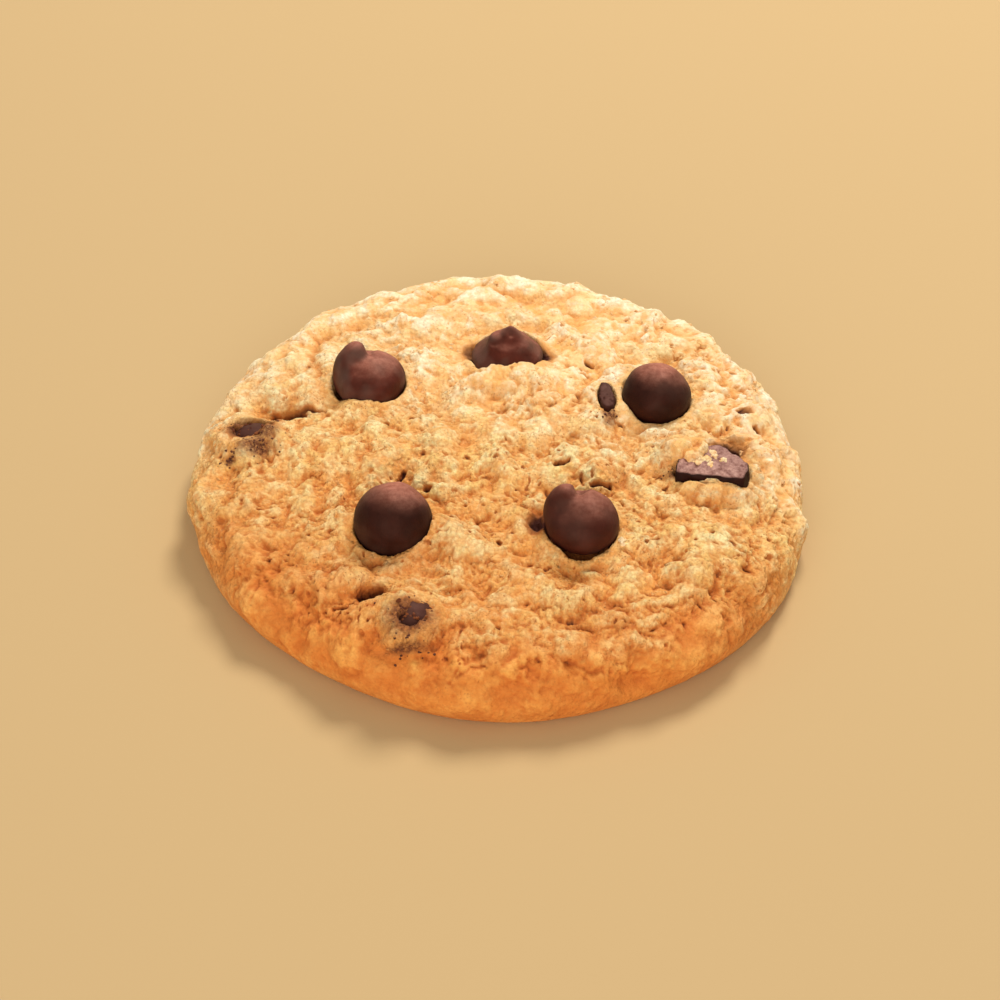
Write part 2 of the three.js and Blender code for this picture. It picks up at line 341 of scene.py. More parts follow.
def crust(points, share):
    """How far the baked crust stands out over the broad relief, and where it has fine pores.

    Its lumps are strongest on top, where patches of it are coarse or crumbly, calmer towards
    the back and least on the sides.
    """
    side = step_between(0.8, BELLY_SHARE, share + 0.05 * swells(points, 7.0))
    back = step_between(6, 26, points[:, 1] - 0.25 * points[:, 0])
    right = step_between(-8, 14, points[:, 0] - 0.3 * points[:, 1])
    ragged = warped(warped(points, 3.0, 0.6), 1.0, 0.2)
    jagged = warped(ragged, 0.55, 0.15)
    coarse = step_between(-0.1, 0.3, swells(points + 150, 4.0) + 0.12 * right)
    crumbly = step_between(-0.15, 0.25, swells(points + 50, 5.0) + 0.15 * right - 0.25 * back)

    broad = 1.2 * swells(points + 3, 6.0) + 0.7 * swells(ragged + 9, 3.0)
    broad += 0.2 * raised_lumps(ragged, "large")
    middling = (0.12 + 0.26 * coarse) * raised_lumps(jagged + 1, "middling")
    small = (0.22 + 0.28 * crumbly) * raised_lumps(jagged, "small")
    grains = (0.27 + 0.23 * crumbly) * raised_lumps(jagged, "grains")
    pores = (0.25 + 0.75 * crumbly) * (1 - 0.8 * side) * pits(jagged + 33, 0.8, 0.42)
    pitted = 0.35 * hollows(points) + 0.32 * pores
    quiet = 1 - 0.55 * side
    relief = quiet * (broad + (1 - 0.25 * back) * (middling + small - pitted)) - 0.25 * side
    return relief + (1 - 0.7 * side) * (1 - 0.5 * back) * grains, pores


def cracks(points):
    """How deep the finer cracks and pits cut in at each place, and how much of one it is."""
    ragged = warped(points, 1.1, 0.45)
    depth_here, share_here = np.zeros((2, len(points)))
    for _, path, width, depth in CRACKS:
        inside = 1 - step_between(0.35, 1.25, distance_to_path(ragged, path) / width)
        depth_here = np.maximum(depth_here, depth * inside)
        share_here = np.maximum(share_here, inside)
    return depth_here, share_here


def sockets(points, share):
    """Where the crust makes room for chocolate.

    Gives the hollows under it, the calm crust beside it, the height and place of dough over it, and how dark
    the painted shade is in the dips and round the openings by it.
    """
    hollow, beside, over, covered, dark = np.zeros((5, len(points)))
    ragged = warped(points, 1.4, 0.35)
    for middle, half in FOOTPRINTS.values():
        away = away_in_plan(points, middle, half) + 0.05 * swells(points, 2.4)
        hollow = np.maximum(hollow, 1 - step_between(0.9, 1.02, away))
        beside = np.maximum(beside, np.exp(-(((away - 1.1) / 0.16) ** 2)))
    for _, middle, half, height in COVERS:
        away = away_in_plan(ragged, middle, half)
        cover = 1 - step_between(0.55, 1.15, away)
        over = np.maximum(over, height * cover)
        covered = np.maximum(covered, 1 - step_between(0.7, 0.95, away))
    for _, middle, half, height, hole, hole_half in SHROUDS:
        away = away_in_plan(ragged, middle, half)
        open_share = away_in_plan(ragged, hole, hole_half) + 0.6 * swells(points, 0.9)
        cover = (1 - step_between(0.3, 1.15, away)) * step_between(0.75, 1.35, open_share)
        over = np.maximum(over, height * cover)
        covered = np.maximum(covered, (1 - step_between(0.7, 1.0, away)) * step_between(0.8, 1.1, open_share))
        # Painted shade round the opening over the chip.
        dark = np.maximum(dark, 0.95 * (1 - step_between(1.1, 2.1, open_share)))
    for _, middle, half, depth in DIPS:
        away = away_in_plan(ragged, middle, half)
        dip = np.exp(-((away / 0.8) ** 2))
        over = over - depth * dip
        # Painted shade in the deeper dips.
        dark = np.maximum(dark, np.clip(depth - 1.1, 0, 1) * np.clip(2.2 * dip, 0, 1))
    return np.array([hollow * (1 - covered), beside, over, covered, dark]) * (share < BELLY_SHARE)


def blurred(field, reach):
    """A field over the dough's net, softened over that many cells."""
    grid = field.reshape(GRID_CELLS + 1, GRID_CELLS + 1)
    offsets = np.arange(-2 * reach, 2 * reach + 1)
    weights = np.exp(-((offsets / reach) ** 2))
    weights /= weights.sum()
    for axis in (0, 1):
        margins = [(2 * reach, 2 * reach) if axis == side else (0, 0) for side in (0, 1)]
        padded = np.pad(grid, margins, "edge")
        grid = np.apply_along_axis(lambda line: np.convolve(line, weights, "valid"), axis, padded)
    return grid.ravel()


def dough_net():
    """The square net over top and sides: angle and share of every corner, row by row."""
    line = np.linspace(-1, 1, GRID_CELLS + 1)
    a, b = (grid.ravel() for grid in np.meshgrid(line, line))
    share = np.maximum(np.abs(a), np.abs(b))
    wide = np.abs(a) >= np.abs(b)
    safe_a, safe_b = np.where(a == 0, 1, a), np.where(b == 0, 1, b)
    angle = np.where(
        wide,
        math.pi / 4 * b / safe_a + np.where(a < 0, math.pi, 0),
        math.pi / 2 - math.pi / 4 * a / safe_b + np.where(b < 0, math.pi, 0),
    )
    return angle, share


def browning(points, angle, share, covered):
    """How browned the crust is, and how far it is part of the pale back edge; both are partly painted light
    and shade.
    """
    uneven = swells(points, 9.0)
    front = step_between(-10, 28, -points[:, 1] - 0.3 * points[:, 0] + 4 * uneven)
    back = step_between(-4, 16, points[:, 1] + 0.2 * points[:, 0] + 4 * uneven)
    left = step_between(4, 30, -points[:, 0] + 4 * uneven)
    right = step_between(0, 24, points[:, 0] + 4 * uneven)
    edge = step_between(0.7, 0.9, share)
    # Paler towards the back and right, browner towards the front and left and on the rim that faces front:
    # partly real browning, partly painted light and shade for the key lamp behind and to the right.
    top = 0.27 - 0.24 * back + 0.23 * front + (0.03 + 0.06 * back) * left - 0.06 * right - 0.25 * edge
    facing_front = step_between(-0.05, 0.8, -0.99 * np.sin(angle) - 0.1 * np.cos(angle))
    rightward = step_between(-0.3, 0.6, np.cos(angle))
    rim = facing_front * step_between(0, 0.18, share - 0.66 - 0.04 * rightward + 0.06 * swells(points, 5.0))
    bake = (np.clip(top, 0, 1) * (1 - rim) + rim) * (1 - 0.35 * covered)
    foot = 0.6 * step_between(0.9, 1.0, share + 0.03 * uneven)
    return np.maximum(bake, foot), edge * back


def stained(points):
    """How far the dough is stained by chocolate."""
    return np.max([np.exp(-(away_in_plan(points, *place) ** 2)) for _, *place in STAINS], axis=0)


def dough_surface(angle, share):
    """The finished crust: its points, and marks from 0 to 1 that its material colours it by.

    The marks are bake, how browned it is, partly painted light and shade; crest and low, how far it stands
    over or lies under what is about it, coloured as painted highlight on crests and painted shade in low
    places; crevice and deep, narrow and dark hollows, coloured as painted shade; and stain, rubbed-in
    chocolate.
    """
    radius, height, out, up = section(rim_radius(angle), share)
    around = np.stack([np.cos(angle), np.sin(angle)], 1)
    bare = np.column_stack([around * radius[:, None], height])
    facing = np.column_stack([around * out[:, None], up])
    over_table = step_between(0, 1.5, bare[:, 2])
    crack_depth, crack_share = cracks(bare)
    hollow, beside, over, covered, dark = sockets(bare, share)
    calm = (1 - 0.55 * beside) * (0.3 + 0.7 * smooth(bare[:, 2] / SMOOTH_FOOT_HEIGHT))
    baked_relief, pores = crust(bare, share)
    fine = baked_relief * calm - crack_depth
    broad = broad_relief(bare)
    relief = broad + fine
    rise = broad + (fine + 0.2 * beside + over) * over_table - SOCKET_DEPTH * hollow
    bake, back_edge = browning(bare, angle, share, covered)

    # Painted light and shade: crevice, low and deep darken the hollows, cracks, pits, pores, dips and the
    # crust in and beside the sockets, and crest lightens the tops of lumps and the back edge.
    crevice = 0.45 * np.clip((blurred(fine, 2) - fine) / 0.13, 0, 1)
    crevice += 0.45 * np.clip((blurred(fine, 5) - fine) / 0.4, 0, 1)
    crevice = np.clip(crevice + 0.4 * crack_share + 0.8 * hollow, 0, 1)
    sunk = (blurred(relief, 24) - relief) / 0.9
    low = 0.7 * (blurred(fine, 11) - fine) / 0.6 + 0.6 * sunk
    low = np.maximum(low, 0.8 * hollows(bare)) + 0.4 * hollow
    low = low * (1 - 0.8 * back_edge) + 0.5 * beside
    crest = (fine - blurred(fine, 7)) / 0.45 - 0.5 * sunk + 0.3 + back_edge - 0.5 * beside
    deep = np.clip(1.7 * crack_share - 0.15, 0, 1) * np.clip(crack_depth / 1.1, 0, 1)
    deep += 0.6 * hollow + dark + 0.55 * pores
    deep += 0.6 * np.clip((blurred(fine, 3) - fine - 0.16) / 0.25, 0, 1)
    marks = {
        "crevice": crevice, "crest": crest, "low": low, "bake": bake, "stain": stained(bare), "deep": deep
    }
    return bare + facing * rise[:, None], {name: np.clip(mark, 0, 1) for name, mark in marks.items()}


def underside(points, ring):
    """Closes the dough underneath with rings of points, halving their number as they shrink."""
    faces = []
    added = []
    count = len(points)
    outer = ring
    outer_points = points[ring]
    radius = RIM_RADIUS - FOOT_INSET
    while radius > 2 * UNDERSIDE_SPACING:
        spacing = 2 * math.pi * radius / len(outer)
        halve = spacing < UNDERSIDE_SPACING and len(outer) % 2 == 0
        step = max(spacing, UNDERSIDE_SPACING / 2)
        inner_points = (outer_points[::2] if halve else outer_points) * (1 - step / radius)
        radius -= step
        inner_points[:, 2] = 0
        kinds = [pits(inner_points + start, size, rarity) for start, size, rarity in UNDERSIDE_PITS]
        sunk = np.max(kinds, axis=0) * step_between(0, 3, RIM_RADIUS - FOOT_INSET - radius)
        inner_points[:, 2] = UNDERSIDE_PIT_DEPTH * sunk
        inner = np.arange(count, count + len(inner_points))
        count += len(inner)
        added.append(inner_points)
        after = np.roll(inner, -1)
        if halve:
            first, middle, last = outer[::2], outer[1::2], np.roll(outer[::2], -1)
            faces += np.stack([middle, first, inner], 1).tolist()
            faces += np.stack([middle, inner, after], 1).tolist()
            faces += np.stack([last, middle, after], 1).tolist()
        else:
            faces += np.stack([np.roll(outer, -1), outer, inner, after], 1).tolist()
        outer, outer_points = inner, inner_points
    added.append(np.array([[0, 0, 0]]))
    faces += [[after, here, count] for here, after in zip(outer, np.roll(outer, -1))]
    return np.vstack(added), faces


def underside_marks(points):
    """The looks of the underside: an uneven brown, darker in its pits as painted shade."""
    sunk = points[:, 2] / UNDERSIDE_PIT_DEPTH
    return {
        "bake": np.clip(0.88 + 0.35 * swells(points + 60, 8.0), 0, 1),
        "crest": np.clip(0.3 + 0.6 * swells(points + 90, 2.5), 0, 1),
        "crevice": 0.7 * sunk,
        "low": 0.5 * sunk,
        "deep": 0.3 * sunk,
        "stain": 0 * sunk,
    }


def build_dough(net_points, marks, angle, share, material):
    """One closed mesh of the crust and the underside, with its marks, thinned where it is smooth."""
    side = GRID_CELLS + 1
    corner = (np.arange(GRID_CELLS)[:, None] * side + np.arange(GRID_CELLS)).ravel()
    quads = np.stack([corner, corner + 1, corner + side + 1, corner + side], 1)
    edge = np.where(share > 1 - 1e-9)[0]
    ring = edge[np.argsort(angle[edge] % (2 * math.pi))]
    net_points[ring, 2] = 0
    under_points, under_faces = underside(net_points, ring)
    points = np.vstack([net_points, under_points])

    mesh = bpy.data.meshes.new("dough_crust")
    mesh.from_pydata(((points + CENTRING) * MM).tolist(), [], quads.tolist() + under_faces)
    under_marks = underside_marks(under_points)
    for name, values in marks.items():
        add_mark(mesh, name, np.append(values, under_marks[name]))
    lay_out_for_baking(mesh, len(quads))
    dough = add_object("dough_crust", mesh)
    thin_out(dough, DOUGH_TRIANGLES)
    for vertex in dough.data.vertices:
        vertex.co.z = max(vertex.co.z, 0)
    dough.data.shade_smooth()
    dough.data.materials.append(material)
    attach(dough, "root")
    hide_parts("dough")


def add_object(name, data):
    """A new object in the scene."""
    thing = bpy.data.objects.new(name, data)
    bpy.context.scene.collection.objects.link(thing)
    return thing


def add_mark(mesh, name, values):
    """Keeps a value for every point on the mesh, for its material to read."""
    mesh.attributes.new(name, "FLOAT", "POINT").data.foreach_set("value", values.astype(np.float32))


def lay_out_for_baking(mesh, net_faces):
    """Spreads the net over most of the texture square, and the underside in a corner of it."""
    uv_map = mesh.uv_layers.new(name="OFBake")
    corners = np.zeros(len(mesh.loops), int)
    mesh.loops.foreach_get("vertex_index", corners)
    side = GRID_CELLS + 1
    over = np.arange(len(corners)) < net_faces * 4
    net_uv = np.stack([corners % side, corners // side], 1) / GRID_CELLS * NET_SPAN + UV_MARGIN
    plan = np.zeros(len(mesh.vertices) * 3)
    mesh.vertices.foreach_get("co", plan)
    plan = plan.reshape(-1, 3)[corners, :2] / MM / RIM_RADIUS
    under_uv = plan * UNDERSIDE_SPAN + UNDERSIDE_MIDDLE
    uv_map.data.foreach_set("uv", np.where(over[:, None], net_uv, under_uv).astype(np.float32).ravel())


def thin_out(piece, triangles):
    """Collapses edges where the mesh is smooth until about that many triangles are left."""
    now = sum(len(face.vertices) - 2 for face in piece.data.polygons)
    if now <= triangles:
        return
    modifier = piece.modifiers.new("thin out", "DECIMATE")
    modifier.ratio = triangles / now
    thinned = bpy.data.meshes.new_from_object(piece.evaluated_get(bpy.context.evaluated_depsgraph_get()))
    piece.modifiers.clear()
    piece.data = thinned


# ---- materials ----------------------------------------------------------------------------
class Nodes:
    """Short calls for building a material's nodes."""

    def __init__(self, name):
        self.material = bpy.data.materials.new(name)
        self.material.use_nodes = True
        self.tree = self.material.node_tree
        self.place = self.add("TexCoord", {}).outputs["Object"]
        self.ragged = self.pushed_about(1.2, 0.5)

    def give(self, node, values):
        """Fills a node's sockets, each with a number, a colour, a vector or another's output."""
        for name, value in values.items():
            socket = node.inputs[name]
            if isinstance(value, bpy.types.NodeSocket):
                self.tree.links.new(value, socket)
            elif isinstance(value, tuple):
                socket.default_value = (*value, 1)[: len(socket.default_value)]
            else:
                socket.default_value = value

    def add(self, kind, values, **settings):
        node = self.tree.nodes.new("ShaderNode" + kind)
        for name, value in settings.items():
            setattr(node, name, value)
        self.give(node, values)
        return node

    def finished(self, values):
        """The material, once the sockets of its shader are filled."""
        self.give(self.tree.nodes["Principled BSDF"], values)
        return self.material

    def noise(self, size_mm, detail=4.0, roughness=0.55, distortion=0.0):
        values = {"Detail": detail, "Roughness": roughness, "Distortion": distortion}
        node = self.add("TexNoise", {"Vector": self.place, "Scale": 1 / (size_mm * MM), **values})
        return node.outputs["Fac"]

    def pushed_about(self, size_mm, reach_mm):
        """The place, moved a little by noise, which makes what is laid over it ragged."""
        noise = self.add("TexNoise", {"Vector": self.place, "Scale": 1 / (size_mm * MM)})
        values = {0: noise.outputs["Color"], 1: (reach_mm * MM,) * 3, 2: self.place}
        return self.add("VectorMath", values, operation="MULTIPLY_ADD").outputs["Vector"]

    def grains(self, size_mm):
        """Distance to the nearest of many strewn points, in units of their spacing."""
        node = self.add("TexVoronoi", {"Vector": self.ragged, "Scale": 1 / (size_mm * MM)})
        return node.outputs["Distance"]

    def facing(self, direction):
        """How far the surface faces a direction: 1 for straight at it, 0 for square to it."""
        values = {0: self.add("NewGeometry", {}).outputs["Normal"], 1: direction}
        return self.add("VectorMath", values, operation="DOT_PRODUCT").outputs["Value"]

    def attribute(self, name):
        return self.add("Attribute", {}, attribute_name=name).outputs["Fac"]

    def ramp(self, source, *stops):
        """A colour or an amount for each value of the source, run smoothly from stop to stop."""
        node = self.add("ValToRGB", {"Fac": source})
        elements = node.color_ramp.elements
        while len(elements) < len(stops):
            elements.new(0.5)
        for element, (position, colour) in zip(elements, stops):
            element.position = position
            element.color = (*(colour if isinstance(colour, tuple) else (colour,) * 3), 1)
        return node.outputs["Color"]

    def mix(self, share, first, second):
        """The first colour with so much of the second in its place."""
        return self.add("Mix", {"Factor": share, 6: first, 7: second}, data_type="RGBA").outputs[2]

    def blended(self, first, second, amount):
        """The first value with so much of the second in its place."""
        return self.add("Mix", {"Factor": amount, "A": first, "B": second}).outputs["Result"]

    def multiplied(self, first, second):
        return self.add("Math", {0: first, 1: second}, operation="MULTIPLY").outputs["Value"]

    def bump(self, height, strength, distance_mm, below=None):
        """A bumped surface normal, laid over another one if there is one below."""
        values = {"Height": height, "Strength": strength, "Distance": distance_mm * MM}
        if below is not None:
            values["Normal"] = below
        return self.add("Bump", values).outputs["Normal"]


def srgb(red, green, blue):
    """A colour given in display values from 0 to 255, as the shader wants it."""
    return tuple(
        value / 255 / 12.92 if value / 255 <= 0.04045 else ((value / 255 + 0.055) / 1.055) ** 2.4
        for value in (red, green, blue)
    )


# The dough's colours in display values, each from barely baked to well browned.
DOUGH_COLOURS = {
    "plain": [
        (0.0, (253, 225, 172)), (0.15, (255, 224, 164)), (0.3, (254, 213, 140)),
        (0.6, (233, 164, 84)), (1.0, (217, 130, 54)),
    ],
    "cream": [(0.0, (255, 247, 216)), (0.3, (255, 240, 178)), (1.0, (242, 171, 84))],
    "buttery": [(0.0, (255, 236, 176)), (0.3, (255, 222, 138)), (1.0, (226, 142, 60))],
    "blush": [(0.0, (246, 182, 96)), (0.4, (243, 162, 74)), (1.0, (218, 125, 48))],
    # The toasted colours also serve as painted shade in crevices and hollows.
    "toast_and_shade": [(0.0, (222, 150, 80)), (0.4, (200, 114, 46)), (1.0, (184, 94, 30))],
}
# Patches of colour over it: colour, size, the noise they start at, how strong they get.
DOUGH_PATCHES = [
    ("blush", 7.0, 0.48, 0.5),
    ("blush", 2.6, 0.47, 0.75),
    ("blush", 1.1, 0.48, 0.4),
    ("buttery", 5.2, 0.5, 0.5),
    ("buttery", 1.9, 0.5, 0.5),
]
PATCH_EDGE = 0.14
PORE_COLOUR = srgb(172, 102, 44)
# Dark brown painted shade for the deepest hollows, cracks and pores.
DEEP_COLOUR = srgb(76, 30, 17)
SMEARED_COLOUR = srgb(196, 128, 64)
SPOTTED_COLOUR = srgb(96, 46, 26)


def dough_material():
    """Baked dough, coloured by the marks of the crust, with their painted light and shade, and by patches and
    grain of its own.
    """
    nodes = Nodes("baked_dough")
    bake = nodes.attribute("bake")
    baked = {
        name: nodes.ramp(bake, *((share, srgb(*colour)) for share, colour in stops))
        for name, stops in DOUGH_COLOURS.items()
    }
    cream, blush, toast_and_shade = baked["cream"], baked["blush"], baked["toast_and_shade"]
    topside = nodes.ramp(bake, (0.0, 0.6), (0.15, 1.0), (0.7, 1.0), (1.0, 0.5))
    # Painted highlight: the crests of the crust turn cream.
    base = nodes.mix(nodes.attribute("crest"), baked["plain"], cream)
    for name, size, start, most in DOUGH_PATCHES:
        patches = nodes.ramp(nodes.noise(size, 4.0, 0.6), (start, 0.0), (start + PATCH_EDGE, most))
        base = nodes.mix(patches, base, baked[name])
    # Painted shade: low places and crevices turn to deeper orange colours.
    low = nodes.ramp(nodes.attribute("low"), (0.0, 0.0), (0.9, 0.72))
    base = nodes.mix(low, base, blush)
    base = nodes.mix(nodes.attribute("crevice"), base, toast_and_shade)
    between = nodes.ramp(nodes.grains(0.55), (0.45, 0.0), (0.85, 0.4))
    dark_grain = nodes.ramp(nodes.noise(0.26, 3.0, 0.7), (0.5, 0.0), (0.68, 0.36))
    pale_grain = nodes.ramp(nodes.noise(0.4, 3.0, 0.65, 0.4), (0.54, 0.0), (0.7, 0.25))
    porous = nodes.ramp(nodes.noise(4.5, 2.0), (0.46, 0.0), (0.6, 0.7))
    pores = nodes.multiplied(nodes.ramp(nodes.grains(0.42), (0.14, 1.0), (0.32, 0.0)), porous)
    fine = (between, toast_and_shade), (dark_grain, toast_and_shade), (pale_grain, cream), (pores, PORE_COLOUR)
    for share, colour in fine:
        base = nodes.mix(nodes.multiplied(share, topside), base, colour)
    # Painted shade: deep hollows, cracks and pores turn dark brown.
    deep = nodes.attribute("deep")
    base = nodes.mix(nodes.ramp(deep, (0.0, 0.0), (0.35, 0.9)), base, toast_and_shade)
    base = nodes.mix(nodes.ramp(deep, (0.25, 0.0), (1.0, 1.0)), base, DEEP_COLOUR)
    stain = nodes.attribute("stain")
    base = nodes.mix(nodes.ramp(stain, (0.1, 0.0), (0.7, 0.7)), base, SMEARED_COLOUR)
    spotted = nodes.ramp(nodes.noise(0.45, 4.0, 0.75), (0.36, 0.2), (0.58, 0.95))
    spots = nodes.multiplied(nodes.ramp(stain, (0.25, 0.0), (0.85, 1.0)), spotted)
    base = nodes.mix(spots, base, SPOTTED_COLOUR)
    normal = nodes.bump(nodes.multiplied(nodes.noise(0.22, 4.0, 0.75), topside), 0.8, 0.14)
    for size, strength, height in ((0.55, 0.75, 0.22), (1.1, 0.5, 0.3)):
        rounded = nodes.ramp(nodes.grains(size), (0.1, 1.0), (0.75, 0.0))
        normal = nodes.bump(nodes.multiplied(rounded, topside), strength, height, normal)
    normal = nodes.bump(nodes.noise(0.5, 5.0, 0.75), 0.5, 0.25, normal)
    return nodes.finished(
        {"Base Color": base, "Roughness": 0.8, "Specular IOR Level": 0.3, "Normal": normal}
    )


SMUDGE_COLOUR = srgb(104, 86, 76)
# Colours of the painted highlight that lightens the chips where they face up and back.
HIGHLIGHT_COLOURS = (0.35, srgb(158, 89, 70)), (0.7, srgb(210, 139, 115))
BLOOM_COLOURS = (0.35, srgb(112, 66, 58)), (0.68, srgb(200, 156, 142))
# The way a chip faces where its painted highlight is strongest, towards the key lamp, and how strong that
# painted highlight is as the chip turns towards it.
HIGHLIGHT_SIDE = (0.12, 0.45, 0.88)
HIGHLIGHT_STEPS = ((0.36, 0.0), (0.5, 0.06), (0.66, 0.26), (0.82, 0.62), (0.96, 1.0))


def chocolate_material(name, highlight, darkest=srgb(30, 10, 7), dark=srgb(44, 16, 11), smudge=0.08):
    """Dark chocolate, with a painted highlight that makes it lighter and duller where it faces up and back,
    by as much as the second argument says.
    """
    nodes = Nodes(name)
    body = nodes.ramp(nodes.noise(2.2, 3.0), (0.3, darkest), (0.7, dark))
    smudged = nodes.ramp(nodes.noise(4.0, 2.0), (0.42, 0.0), (0.6, smudge))
    body = nodes.mix(smudged, body, SMUDGE_COLOUR)
    # The painted highlight: a speckled lighter colour where the chip faces up and back.
    highlight_colour = nodes.ramp(nodes.noise(0.7, 6.0, 0.75), *HIGHLIGHT_COLOURS)
    share = nodes.blended(nodes.facing(HIGHLIGHT_SIDE), nodes.noise(1.6, 3.0), 0.16)
    painted_highlight = nodes.ramp(share, *((turned, amount * highlight) for turned, amount in HIGHLIGHT_STEPS))
    fine = nodes.bump(nodes.noise(0.3, 4.0), 0.3, 0.06)
    return nodes.finished({
        "Base Color": nodes.mix(painted_highlight, body, highlight_colour),
        "Roughness": nodes.ramp(nodes.noise(1.5), (0.3, 0.5), (0.7, 0.64)),
        "Specular IOR Level": 0.28,
        "Specular Tint": srgb(255, 185, 160),
        "Normal": nodes.bump(nodes.noise(1.2, 4.0), 0.3, 0.25, fine),
    })


def bloomed_material():
    """Chocolate with a dull grey-purple bloom on the faces that look up."""
    nodes = Nodes("bloomed_chocolate")
    dark = nodes.ramp(nodes.noise(1.0, 3.0), (0.3, srgb(28, 9, 6)), (0.7, srgb(48, 18, 12)))
    bloom = nodes.ramp(nodes.noise(0.8, 6.0, 0.75), *BLOOM_COLOURS)
    upward = nodes.ramp(nodes.facing((0.0, 0.0, 1.0)), (0.6, 0.0), (0.93, 0.95))
    return nodes.finished({
        "Base Color": nodes.mix(upward, dark, bloom),
        "Roughness": nodes.ramp(nodes.noise(0.9), (0.3, 0.5), (0.7, 0.75)),
        "Specular IOR Level": 0.12,
        "Normal": nodes.bump(nodes.noise(0.35, 5.0, 0.7), 0.5, 0.15),
    })


# ---- the chocolate ------------------------------------------------------------------------
# half: half width and half depth at the waterline; dome, sink: height over and depth under it;
# lean: degrees about X, then Y; nubs: rounded bodies melted into the chip, each with its
# middle, its half sizes and how softly it blends; cone: a pointed top, with its tip and how
# much it widens downwards; dents: hollows, each with its middle and radius.
CHIPS = {
    "chip_back_left": {
        "half": (4.55, 4.45), "dome": 3.4, "sink": 3.0, "lean": (-3, -3),
        "nubs": [((-1.6, 1.3, 2.0), (1.9, 1.9, 2.8), 0.5), ((-2.8, 0.9, 1.3), (1.9, 2.2, 2.6), 0.8)],
        "dents": [
            ((0.1, 3.2, 2.6), 0.95), ((0.1, 2.4, 3.2), 0.8), ((0.15, 1.5, 3.5), 0.6), ((0.4, 0.7, 3.6), 0.45),
        ],
    },
    "chip_back": {
        "half": (4.5, 4.4), "dome": 1.3, "sink": 2.8, "lean": (-4, 2),
        "cone": ((0.6, 0.5, 5.2), 0.9),
        "nubs": [((-1.9, 0.4, 1.0), (2.2, 2.0, 1.3), 0.7)],
        "dents": [((0.9, -1.7, 3.75), 1.0)],
    },
    "chip_back_right": {"half": (4.3, 4.2), "dome": 4.1, "sink": 3.0, "lean": (0, 3)},
    "chip_front_left": {"half": (4.7, 4.6), "dome": 4.8, "sink": 3.0, "lean": (8, -3)},
    "chip_front_right": {
        "half": (4.5, 4.5), "dome": 3.4, "sink": 3.2, "lean": (4, 2),
        "nubs": [((-2.0, 1.7, 1.5), (1.7, 1.8, 2.6), 0.4), ((-2.7, 0.9, 0.9), (2.0, 2.1, 2.7), 0.8)],
        "dents": [((-0.3, 3.8, 2.1), 1.25), ((-0.3, 2.9, 2.8), 1.0), ((-0.4, 1.9, 3.4), 0.7)],
    },
    "chip_buried_left": {"half": (3.3, 3.1), "dome": 2.0, "sink": 2.0, "lean": (0, -12)},
    "chip_buried_front": {"half": (3.4, 3.1), "dome": 2.0, "sink": 2.2, "lean": (10, 0)},
}
# Broken pieces: plan outline and thickness in millimetres, turn and lean in degrees, and how
# crisp the edges are.
SHARDS = {
    "chunk_right": {
        "outline": [(-4.3, -2.4), (3.6, -3.0), (4.4, -0.9), (3.9, 0.2), (1.1, 2.7), (-1.2, 2.9), (-3.7, 1.6)],
        "thick": 3.2, "turn": -4, "lean": (-4, -3), "sharpness": 24,
    },
    "splinter": {
        "outline": [(-0.5, 2.6), (-1.0, 0.6), (-0.7, -1.9), (0.3, -2.6), (1.0, -1.4), (0.8, 0.8), (0.3, 2.3)],
        "thick": 2.2, "turn": 0, "lean": (-8, 4), "sharpness": 8,
    },
}


def fit_to_box(points, node):
    """Moves and stretches the points so that they just fill a CAD node's box, in metres."""
    low, high = (np.array(corner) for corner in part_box(node))
    mine_low, mine_high = points.min(0), points.max(0)
    return low + (points - mine_low) / (mine_high - mine_low) * (high - low)


def leaned(points, lean, turn=0):
    """The points turned about Z, then leaned about Y and X, in degrees."""
    about_x, about_y, about_z = (
        Matrix.Rotation(math.radians(degrees), 3, axis) for degrees, axis in zip((*lean, turn), "XYZ")
    )
    return points @ np.array(about_x @ about_y @ about_z).T


def ball(fineness):
    """Points and triangles of a finely divided unit ball."""
    build = bmesh.new()
    bmesh.ops.create_icosphere(build, subdivisions=fineness, radius=1)
    build.verts.ensure_lookup_table()
    points = np.array([vertex.co for vertex in build.verts])
    faces = np.array([[vertex.index for vertex in face.verts] for face in build.faces])
    build.free()
    return points, faces


def rounded_body(points, middle, half):
    """Roughly how far outside a rounded body the points are; negative inside."""
    half = np.array(half)
    return (np.linalg.norm((points - middle) / half, axis=1) - 1) * half.min()


def melted(first, second, softness):
    """Two bodies run together, each given by how far outside it the points are."""
    share = np.clip(0.5 + 0.5 * (second - first) / softness, 0, 1)
    return second * (1 - share) + first * share - softness * share * (1 - share)


# A chip's surface lies within these distances of its inside, in millimetres.
CHIP_REACH = (0.2, 9.0)
CHIP_HALVINGS = 24


def chip_outside(points, chip, seed):
    """Negative inside the chip, positive outside."""
    upright = np.where(points[:, 2] > 0, chip["dome"], chip["sink"])
    wide, deep = chip["half"]
    scaled = np.column_stack([points[:, 0] / wide, points[:, 1] / deep, points[:, 2] / upright])
    outside = (np.linalg.norm(scaled, axis=1) - 1) * chip["dome"]
    if "cone" in chip:
        point, spread = chip["cone"]
        reach = np.hypot(np.hypot(points[:, 0] - point[0], points[:, 1] - point[1]), 0.3)
        cone = (reach - spread * (point[2] - points[:, 2])) / math.hypot(1, spread)
        outside = melted(outside, cone, 0.8)
    for middle, half, softness in chip.get("nubs", []):
        outside = melted(outside, rounded_body(points, middle, half), softness)
    for middle, radius in chip.get("dents", []):
        outside = -melted(-outside, rounded_body(points, middle, (radius,) * 3), 0.3)
    return outside + 0.16 * swells(points + seed, 3.2) + 0.04 * swells(points - seed, 1.1)


